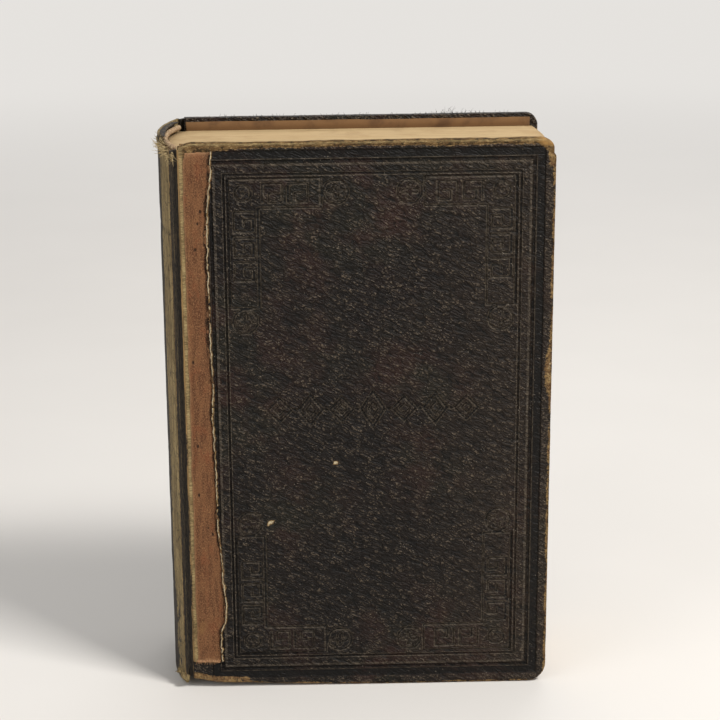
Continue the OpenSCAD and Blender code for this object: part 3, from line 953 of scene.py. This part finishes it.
def pasted(side):
    """Paper pasted inside a board, over the turn-ins: their edges show through it."""
    shape = Shape()
    xs = steps(HINGE + 0.6, FORE - 2.7, 2.2, [(HINGE, HINGE + 3), (FORE - 14, FORE - 9)], 0.5)
    zs = steps(2.6, HEIGHT - 1.3, 2.2, [(8, 14), (HEIGHT - 14, HEIGHT - 8)], 0.5)
    X, Z = np.meshgrid(xs, zs, indexing="ij")
    inset = np.minimum(FORE - X, np.minimum(Z, HEIGHT - Z))
    over = smooth((TURN_IN + 0.9 - inset) / 1.4)
    y = BOARD_IN - 0.14 - (BOARD_IN - TURNED) * over + 0.02 * mottle(X, Z, 6, 95)
    x = X + 0.15 * torn(Z, 96) * smooth((X - FORE + 8) / 5)
    z = Z + 0.12 * torn(X, 97) * smooth(np.abs(Z - HEIGHT / 2) / 60 - 0.6)
    shown = shape.add(np.stack([x, side * y, z], -1))
    glued = shape.add(np.stack([x, side * (y + 0.1), z], -1))
    shape.sheet(shown, glued)
    return shape


# ---------------------------------------------------------------- spine

def on_arc(radius, y):
    """How far along the book's width an arc about the spine's axis lies, at each depth."""
    return AXIS - np.sqrt(radius ** 2 - np.asarray(y, float) ** 2)


def head_line(y):
    """How high the spine leather still reaches at each depth: torn at the front of the head."""
    gone = smooth((-y - 9) / 5)
    return SPINE_HIGH[2] - gone * (2.6 + 1.0 * torn(y, 71)) - 0.12 * torn(y, 73)


def spine():
    """Leather over the rounded back, with its caps turned in over the bands."""
    shape = Shape()
    thick = 0.8
    ys = np.linspace(-SHOULDER, SHOULDER, 97)
    rows = steps(SPINE_LOW[2], SPINE_HIGH[2], 1.6, [(0, 4), (186, 192)], 0.4)
    Y, Z = np.meshgrid(ys, rows, indexing="ij")
    top = head_line(Y)
    z = np.where(Z > 180, Z + (top - SPINE_HIGH[2]) * smooth((Z - 180) / 11), Z)
    lift = 0.9 * smooth((-Y - 16) / 8)
    z = z + lift * np.clip(1 - z / 10, 0, 1)
    press = np.zeros_like(z)
    for place in range(1, 6):
        for apart in (-1.1, 1.1):
            press += 0.12 * stamp(np.abs(z - place * HEIGHT / 6 - apart), 0.4, 0.4)
    sag = 0.1 * mottle(Y, z, 9, 22) + 0.04 * mottle(Y, z, 2.4, 23)
    radius = SPINE_R - 0.06 - press * smooth((20 - np.abs(Y)) / 3) + sag * smooth((SHOULDER - np.abs(Y)) / 3)
    x = on_arc(radius, Y)
    worn = 0.85 * smooth((-Y - 11) / 5) + 0.55 * smooth((Y - 18) / 4) + 0.22
    worn = worn - 0.55 * smooth((38 - z) / 12) * smooth((Y + 21.2) / 1.6) * (Y < 0)
    worn = np.maximum(worn, 0.75 * smooth((z - top + 1.8) / 1.4) + 0.5 * smooth((z - top + 0.7) / 0.5))
    worn = np.maximum(worn, 0.6 * smooth((2.2 - z) / 1.2))
    outer = shape.add(np.stack([x, Y, z], -1), np.clip(worn, 0, 1.2), np.clip(press * 8, 0, 1))
    inner = shape.add(np.stack([on_arc(SPINE_R - thick, Y), Y, z], -1), 0.8)
    shape.sheet(outer, inner)
    # caps of leather turned over the sewn bands
    for z_cap, low, high in ((SPINE_HIGH[2] - 0.3, -9.5, 19.5), (SPINE_LOW[2] + 0.3, -15.5, 19.5)):
        ys = np.linspace(low, high, 40)
        up = 1 if z_cap > 96 else -1
        profile = [(0.2, 0.0), (0.0, 0.22), (0.6, 0.36), (1.5, 0.3),
                   (2.3, 0.0), (2.4, -0.5), (1.6, -0.42), (0.8, -0.4)]
        lines = []
        for inward, rise in profile:
            r = SPINE_R - 0.25 - inward * (1 + 0.12 * wander(ys, 3, 81))
            ends = smooth((ys - low) / 1.5) * smooth((high - ys) / 1.5)
            lines.append(np.stack([on_arc(r, ys), ys,
                                   z_cap + up * (rise * ends * 0.6 + 0.05 * torn(ys, 82))], -1))
        shape.bar(np.stack(lines), 0.35)
    return shape


def arc_sheet(node, radius, thick):
    """A bent sheet on the backs of the gatherings."""
    low, high = mm_box(node)
    shape = Shape()
    ys = np.linspace(low[1], high[1], 61)
    zs = np.linspace(low[2], high[2], 90)
    Y, Z = np.meshgrid(ys, zs, indexing="ij")
    outer = shape.add(np.stack([on_arc(radius, Y) + 0.025 * mottle(Y, Z, 5, 33), Y, Z], -1))
    inner = shape.add(np.stack([on_arc(radius - thick, Y), Y, Z], -1))
    shape.sheet(outer, inner)
    return shape


BAND_SIDES = 12                         # points round a sewn band
CORD_COUNT, CORD_PLIES = 4, 3


def end_band(node, up, seed):
    """A core with silk wound round it, standing on the end of the leaves."""
    low, high = mm_box(node)
    shape = Shape()
    middle_z = (low[2] + high[2]) / 2 + 0.5 * up
    r_axis = SPINE_R - 2.5
    ys = np.linspace(low[1] - (1.5 if up > 0 else 0), high[1], 150)
    path = np.stack([on_arc(r_axis, ys), ys, middle_z + 0.1 * wander(ys, 5, seed)], 1)
    turn = np.arange(BAND_SIDES) / BAND_SIDES * 2 * math.pi
    wound = 0.95 + 0.09 * np.sin(np.arange(len(path)) * 1.9)[:, None] + 0.03 * np.cos(turn * 2)[None]
    way = np.gradient(path, axis=0)
    way /= np.linalg.norm(way, axis=1)[:, None]
    side = np.cross(way, [0, 0, 1])
    round_it = (np.cos(turn)[None, :, None] * side[:, None]
                + np.sin(turn)[None, :, None] * np.array([0, 0, 1])[None, None])
    dark = 0.35 * (wander(ys, 2, seed + 3)[:, None] > 0.3) * np.ones((1, BAND_SIDES))
    shape.tube(path[:, None] + wound[..., None] * round_it, dark)
    return shape


def cords():
    """Four sewing cords across the backs of the leaves, each of three twisted plies."""
    shape = Shape()
    centre_r = AXIS - (mm_box("sewing_cords")[0][0] + 0.55)
    for number in range(1, CORD_COUNT + 1):
        z = LEAF_TAIL + number * (LEAF_HEAD - LEAF_TAIL) / (CORD_COUNT + 1)
        ys = np.linspace(-20.5, 20.5, 90)
        for ply in range(CORD_PLIES):
            turn = ys * 1.6 + ply * 2 * math.pi / CORD_PLIES
            path = np.stack([on_arc(centre_r + 0.22 * np.cos(turn), ys), ys, z + 0.22 * np.sin(turn)], 1)
            shape.strand(path, 0.3, sides=6)
    return shape


def joint(side, strong):
    """Leather across a joint, dipping between the shoulder and the board."""
    shape = Shape()
    low, high = mm_box("front_joint_leather" if side < 0 else "back_joint_leather")
    zs = steps(low[2] + 0.3, high[2] - 0.8 if strong == 1 else HEIGHT - 0.5, 1.2, [(184, 192), (0, 5)], 0.4)
    s = np.linspace(0, 1, 19)
    S, Z = np.meshgrid(s, zs, indexing="ij")
    x_start, x_end = low[0] - 0.1, HINGE + 0.35
    x = x_start + (x_end - x_start) * S
    dip = 1.15 * np.sin(np.pi * np.clip((S - 0.1) / 0.86, 0, 1)) ** 1.4
    outer_y = np.interp(S, [0, 1], [SHOULDER + 0.62, BOARD_OUT + 0.1]) - dip
    outer_y = outer_y + 0.08 * mottle(S * 3, Z, 3.0, 44) * np.sin(np.pi * S)
    z = Z + lifted(x, Z) + 0.4 * (torn(S * 6, 46) * smooth((Z - 186) / 4))
    worn = strong * (0.9 * smooth((S - 0.74) / 0.16) * (0.7 + 0.3 * wander(Z, 7, 47))
                     + 0.6 * smooth((0.12 - S) / 0.1))
    worn = np.maximum(worn, 0.5 * smooth((Z - 187) / 3) * strong)
    outer = shape.add(np.stack([x, side * outer_y, z], -1), np.clip(worn, 0, 1))
    inner = shape.add(np.stack([x, side * (outer_y - 0.42), z], -1), 0.3)
    shape.sheet(outer, inner)
    return shape


# ---------------------------------------------------------------- leaves

LEAF_COUNT = 15                         # leaves that show on the edges of a gathering


def gathering(node, seed, fold=None):
    """Folded sheets: the single leaves stand a little in and out at head, tail and fore-edge.

    fold is the depth of the block's last leaf, given for the gathering that has the bent-out shoulder.
    """
    low, high = mm_box(node)
    shape = Shape()
    inner, outer = sorted((abs(low[1]), abs(high[1])))
    outer = fold or outer
    sign = 1 if high[1] > abs(low[1]) else -1
    ys = np.linspace(inner, outer, LEAF_COUNT)
    r = (outer - inner) / 2
    back = np.array([on_arc(BACK_R, outer) + r - math.sqrt(max(r * r - (y - inner - r) ** 2, 0)) for y in ys])
    leaf_step = np.random.default_rng(seed).uniform(-0.16, 0.02, LEAF_COUNT)
    leaf_step[0] = leaf_step[-1] = -0.05
    zs = steps(LEAF_TAIL, LEAF_HEAD, 6.0, [(LEAF_TAIL, LEAF_TAIL + 1), (LEAF_HEAD - 1, LEAF_HEAD)], 0.6)
    t = np.linspace(0, 1, 26)
    rings = []
    for k, y in enumerate(ys):
        x0, x1 = back[k], high[0] + leaf_step[k]
        z0 = LEAF_TAIL - leaf_step[(k * 5 + 3) % LEAF_COUNT] * 0.7
        z1 = LEAF_HEAD + leaf_step[(k * 7 + 2) % LEAF_COUNT] * 0.8
        xs = x0 + (x1 - x0) * t
        flat_y = np.full_like(xs, y)
        wave = 0.06 * wander(zs, 30, seed * 7 + k)
        ripple = 0.05 * wander(xs[::-1], 25, seed * 3 + k)
        tail = np.stack([xs, flat_y, np.full_like(xs, z0)], 1)
        head = np.stack([xs[::-1], flat_y, np.full_like(xs, z1) + ripple], 1)
        fore_side = np.stack([np.full(len(zs) - 2, x1) + wave[1:-1], np.full(len(zs) - 2, y),
                              z0 + (zs[1:-1] - LEAF_TAIL) * (z1 - z0) / (LEAF_HEAD - LEAF_TAIL)], 1)
        back_side = fore_side[::-1].copy()
        back_side[:, 0] = x0
        rings.append(np.concatenate([tail, fore_side, head, back_side]))
    rings = np.array(rings)
    rings[..., 1] *= sign
    shape.tube(rings)
    if fold:                            # the shoulder bent out of the last gathering
        lip = max(abs(low[1]), abs(high[1]))
        heights = np.linspace(LEAF_TAIL + 0.1, LEAF_HEAD - 0.1, 40)
        profile = [(0.02, outer - 0.6), (0, outer), (0.05, lip - 0.25), (0.25, lip),
                   (0.6, lip - 0.02), (0.79, lip - 0.3), (0.78, outer), (0.8, outer - 0.6)]
        shape.bar([[(low[0] + px, sign * py, height) for height in heights] for px, py in profile])
    return shape


def loose_leaf(node, seed, wave, clear):
    """One leaf, not quite flat; clear is how far its bound edge stays out of the joint."""
    low, high = mm_box(node)
    shape = Shape()
    xs, zs = np.linspace(low[0] + clear, high[0], 70), np.linspace(low[2], high[2], 100)
    X, Z = np.meshgrid(xs, zs, indexing="ij")
    middle, half = (low[1] + high[1]) / 2, 0.07
    bend = wave * (mottle(X, Z, 28, seed) * 0.7 + mottle(X, Z, 9, seed + 1) * 0.2)
    edge = 0.08 * torn(Z, seed + 2) * (X - low[0]) / (high[0] - low[0])
    faces = []
    for side in (-1, 1):
        faces.append(shape.add(np.stack([X + edge, middle + bend + side * half, Z - 0.05 * (1 - side)], -1)))
    shape.sheet(*faces)
    return shape


# ---------------------------------------------------------------- loose fibres

FIBRE_REACH = 1.3                       # how far fibres stand out past the front of the book


def tuft(shape, base, way, count, length, spread, mark, seed):
    """Loose fibres springing from about one place, each bent its own way."""
    curl, thick = 0.35, 0.11
    rng = np.random.default_rng(seed)
    base, way = np.array(base, float), np.array(way, float)
    way /= np.linalg.norm(way)
    for _ in range(count):
        start = base + rng.normal(0, 1, 3) * np.array(spread)
        heading = way + rng.normal(0, curl, 3)
        heading /= np.linalg.norm(heading)
        bend = rng.normal(0, curl, 3)
        size = length * rng.uniform(0.5, 1.15)
        s = np.linspace(0, 1, 6)[:, None]
        path = start + heading * size * s + bend * size * 0.6 * s ** 2
        proud = np.maximum(BOOK_LOW[1] - path[:, 1], 0)
        path[:, 1] += proud - FIBRE_REACH * np.tanh(proud / FIBRE_REACH)
        shape.strand(path, thick * rng.uniform(0.7, 1.2), thick * 0.3, 4,
                     np.clip(mark + rng.uniform(-0.25, 0.25), 0, 1))


def flap(shape, root, along, up, out, mark, seed):
    """A small curled scrap of leather: a root line, a way up and a curl outwards."""
    rng = np.random.default_rng(seed)
    root, along, up, out = (np.array(v, float) for v in (root, along, up, out))
    s, t = np.linspace(0, 1, 9), np.linspace(0, 1, 7)
    S, T = np.meshgrid(s, t, indexing="ij")
    ragged = 1 - 0.35 * rng.uniform(0, 1, len(s))[:, None] * T ** 2
    points = (root + S[..., None] * along + (T * ragged)[..., None] * up
              + (T ** 2 * (0.6 + 0.5 * np.sin(S * 5)))[..., None] * out)
    normal = np.cross(along, up)
    normal /= np.linalg.norm(normal)
    outer = shape.add(points, mark + 0.5 * T ** 3)
    inner = shape.add(points - normal * 0.35, mark + 0.3)
    shape.sheet(outer, inner)


# ---------------------------------------------------------------- camera, light and floor

FLOOR_HALF = 9.0                        # metres from the book to the floor's edges
BACKDROP = (228, 225, 221)              # the colour behind everything


def stand():
    """The floor, the world, three soft lamps and the camera."""
    f = Finish("pale_floor", Roughness=0.9, Specular_IOR_Level=0.1, Emission_Strength=1.0)
    grain = f.clouds(f.place, 0.01, 2.0)
    # further from the book the floor turns into the backdrop
    away = f.node("ShaderNodeVectorMath", {"operation": "LENGTH"}, f.place, out="Value")
    away = away.between(350.0, 1500.0)
    far = away * f.node("ShaderNodeLightPath", {}, out="Is Camera Ray")
    f.done(f.mix(far, f.mix(grain, tone(222, 218, 213), tone(228, 224, 219)), tone(0, 0, 0)), 0.9)
    glow = f.mix(far, tone(0, 0, 0), tone(*BACKDROP))
    f.tree.links.new(glow.socket, f.shader.inputs["Emission Color"])
    mesh = bpy.data.meshes.new("floor")
    corners = [(x, y, 0) for x in (-FLOOR_HALF, FLOOR_HALF) for y in (-FLOOR_HALF, FLOOR_HALF)]
    mesh.from_pydata(corners, [], [[0, 2, 3, 1]])
    mesh.materials.append(f.material)
    piece = bpy.data.objects.new("floor", mesh)
    bpy.context.scene.collection.objects.link(piece)
    piece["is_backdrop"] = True

    world = bpy.data.worlds.new("studio")
    bpy.context.scene.world = world
    world.use_nodes = True
    tree = world.node_tree
    seen, lit = tree.nodes["Background"], tree.nodes.new("ShaderNodeBackground")
    for background, colour, strength in ((seen, tone(*BACKDROP), 1.0), (lit, (1, 1, 1, 1), 0.38)):
        background.inputs["Color"].default_value = colour
        background.inputs["Strength"].default_value = strength
    choose, path = tree.nodes.new("ShaderNodeMixShader"), tree.nodes.new("ShaderNodeLightPath")
    tree.links.new(path.outputs["Is Camera Ray"], choose.inputs[0])
    tree.links.new(lit.outputs[0], choose.inputs[1])
    tree.links.new(seen.outputs[0], choose.inputs[2])
    tree.links.new(choose.outputs[0], tree.nodes["World Output"].inputs["Surface"])

    def lamp(name, place, size, power, colour=(1, 1, 1)):
        """A square soft lamp turned to the middle of the book."""
        data = bpy.data.lights.new(name, "AREA")
        data.shape, data.size, data.energy, data.color = "SQUARE", size, power, colour
        lamp_object = bpy.data.objects.new(name, data)
        bpy.context.scene.collection.objects.link(lamp_object)
        lamp_object.location = place
        way = Vector((0, 0, 0.1)) - Vector(place)
        lamp_object.rotation_euler = way.to_track_quat("-Z", "Y").to_euler()

    lamp("key", (0.5, -0.42, 1.0), 0.3, 11.0, (1, 0.985, 0.96))
    lamp("fill", (-0.9, -0.7, 0.5), 0.7, 3.5)
    lamp("back", (0.2, 0.9, 0.9), 0.8, 4.0)

    camera = bpy.data.cameras.new("camera")
    camera.sensor_width, camera.lens = 36.0, 92.2
    camera.shift_x, camera.shift_y = 0.061, -0.061
    holder = bpy.data.objects.new("camera", camera)
    bpy.context.scene.collection.objects.link(holder)
    holder.location = np.array([-22, -610, 294]) * MM
    yaw, pitch, roll = (math.radians(a) for a in (0.86, 15.36, -0.74))
    forward = Vector((math.sin(yaw) * math.cos(pitch), math.cos(yaw) * math.cos(pitch), -math.sin(pitch)))
    right = forward.cross(Vector((0, 0, 1))).normalized()
    up = right.cross(forward)
    cos, sin = math.cos(roll), math.sin(roll)
    right, up = right * cos + up * sin, up * cos - right * sin
    turned = Matrix((right, up, -forward)).transposed().to_4x4()
    holder.matrix_world = Matrix.Translation(holder.location) @ turned
    bpy.context.scene.camera = holder


stand()

# ---------------------------------------------------------------- the book is put together

cover(-1, True).build("front_leather", FRONT_LEATHER, "black_leather", "front_board", ["front_cover_leather"])
cover(1, False).build("back_leather", FRONT_LEATHER, "black_leather", "back_board", ["back_cover_leather"])
board(-1, True).build("front_pasteboard", BOARD, "pasteboard", "front_board", ["front_board"])
board(1, False).build("back_pasteboard", BOARD, "pasteboard", "back_board", ["back_board"])
suede_strip().build("front_suede_strip", SUEDE, "bare_leather", "front_board", ["front_bare_strip"])

TUFTS = (                               # place, way, count, length, spread, darkness
    ((-62.8, -20.0, 190.0), (-0.7, -0.4, 0.5), 30, 2.6, (0.7, 1.5, 0.5), 0.2),
    ((-61.0, -22.8, 189.2), (-1.0, -0.3, 0.05), 26, 3.2, (0.5, 0.5, 0.7), 0.1),
    ((-63.6, -12.0, 190.6), (-0.3, -0.1, 1.0), 22, 2.0, (0.3, 2.2, 0.3), 0.9),
    ((-62.6, -16.0, 190.2), (-0.2, 0.1, 1.0), 18, 2.2, (0.5, 1.2, 0.3), 0.7),
    ((-59.6, -24.2, 187.6), (0.1, -0.5, -1.0), 30, 3.2, (0.9, 0.3, 0.6), 0.15))
loose, over_joint = Shape(), Shape()    # fibres at the head of the spine and over the front joint
for number, tuft_values in enumerate(TUFTS):
    tuft(over_joint if number == 4 else loose, *tuft_values, 300 + number)
loose.build("head_fibres", HEMP, "band_thread", "front_pages")
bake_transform(over_joint.build("joint_fibres", HEMP, "band_thread"))

scraps = Shape()                        # curled scraps of the torn spine leather
flap(scraps, (-64.6, -11.0, 189.6), (0.9, -3.6, 0.3), (-0.1, 0.3, 2.6), (0.9, 0.6, 0.1), 0.1, 11)
flap(scraps, (-63.5, -15.4, 188.8), (1.3, -3.0, -0.3), (0.0, 0.4, 2.4), (-0.8, -0.2, 0.3), 0.25, 12)
flap(scraps, (-64.9, -5.5, 190.3), (0.2, -3.0, 0.0), (0.2, 0.2, 1.5), (1.0, 0.2, 0.1), 0.1, 13)
flap(scraps, (-62.2, -18.6, 187.6), (1.2, -2.4, -0.5), (-0.2, -0.1, 1.6), (-1.0, -0.6, 0.1), 0.9, 14)
scraps.build("head_scraps", PLAIN_LEATHER, "black_leather", "front_pages")

curl = Shape()                          # the curled tail of the spine leather at the front joint
flap(curl, (-61.5, -23.6, 5.6), (2.9, -0.5, -1.2), (-0.3, -0.4, -2.6), (-0.2, -1.0, 0.9), 0.62, 15)
flap(curl, (-62.4, -21.8, 6.4), (1.2, -1.4, 0.2), (-0.5, -0.2, -2.0), (-0.9, -0.3, 0.5), 0.45, 16)
curl.build("tail_curl", PLAIN_LEATHER, "black_leather", "front_pages")

hairs = Shape()                         # hairs of leather standing on the back board's head
chance = np.random.default_rng(77)
for k in range(110):
    share = chance.uniform() if k % 3 else np.clip(chance.normal(0.77, 0.05), 0, 1)
    along = HINGE + 4 + (FORE - HINGE - 10) * share
    high = chance.uniform(0.3, 1.0) if k % 9 else chance.uniform(1.2, 2.6)
    depth_at = chance.uniform(BOARD_IN + 0.4, FACE - 0.4)
    drift = chance.normal(0, 0.5, 2)
    hairs.strand([(along, depth_at, HEIGHT - 0.3),
                  (along + drift[0] * 0.4, depth_at + drift[1] * 0.2, HEIGHT + high * 0.5),
                  (along + drift[0] * high, depth_at + drift[1] * 0.5, HEIGHT + high)], 0.07, 0.025, 4)
hairs.build("back_head_hairs", PLAIN_LEATHER, "black_leather", "back_board")

# what lies on the backs of the leaves rides no body and is baked in place, in metres
for name, node, made, finish, slot in (
        ("spine_skin", "spine_leather", spine(), PLAIN_LEATHER, "black_leather"),
        ("back_lining", "spine_lining", arc_sheet("spine_lining", AXIS - LINING_LOW[0], 0.5), LINING,
         "lining_paper"),
        ("head_band", "headband", end_band("headband", 1, 5), SILK, "band_thread"),
        ("tail_band", "tailband", end_band("tailband", -1, 6), SILK, "band_thread"),
        ("cord_set", "sewing_cords", cords(), HEMP, "hemp")):
    piece = made.build(name, finish, slot, None, [node])
    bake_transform(piece)

for side, half in ((-1, "front"), (1, "back")):
    made = joint(side, 1.0 if side < 0 else 0.55)
    piece = made.build(half + "_joint", JOINT_LEATHER, "black_leather", None, [half + "_joint_leather"])
    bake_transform(piece)

for half, seed in (("front", 100), ("back", 110)):
    low, high = mm_box(half + "_gathering_7")
    inner_low, inner_high = mm_box(half + "_gathering_6")
    step = abs((low[1] + high[1]) / 2 - (inner_low[1] + inner_high[1]) / 2)
    fold = max(abs(low[1]), abs(high[1])) + step
    for number in range(1, 9):
        node = f"{half}_gathering_{number}"
        made = gathering(node, seed + number, fold if number == 8 else None)
        made.build(node + "_leaves", LEAVES, "leaves", half + "_pages", [node])
for node, seed, wave, clear, name, finish, slot in (
        ("middle_leaf", 210, 0.08, 0.0, "middle_leaf_sheet", LEAVES, "leaves"),
        ("front_flyleaf", 220, 0.1, 1.0, "front_fly_sheet", ENDPAPER, "endpaper"),
        ("back_flyleaf", 230, 0.1, 1.0, "back_fly_sheet", ENDPAPER, "endpaper")):
    loose_leaf(node, seed, wave, clear).build(name, finish, slot, node, [node])

for side, half in ((-1, "front"), (1, "back")):
    pasted(side).build(half + "_pasted_paper", PASTEDOWN, "pastedown_paper", half + "_board",
                       [half + "_pastedown"])
for node in ("front_cord_slips", "back_cord_slips", "sewing_thread"):
    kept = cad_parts[node]
    kept.data.materials.clear()
    kept.data.materials.append(HEMP)

low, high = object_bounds()

bpy.context.scene.view_settings.view_transform = "Standard"
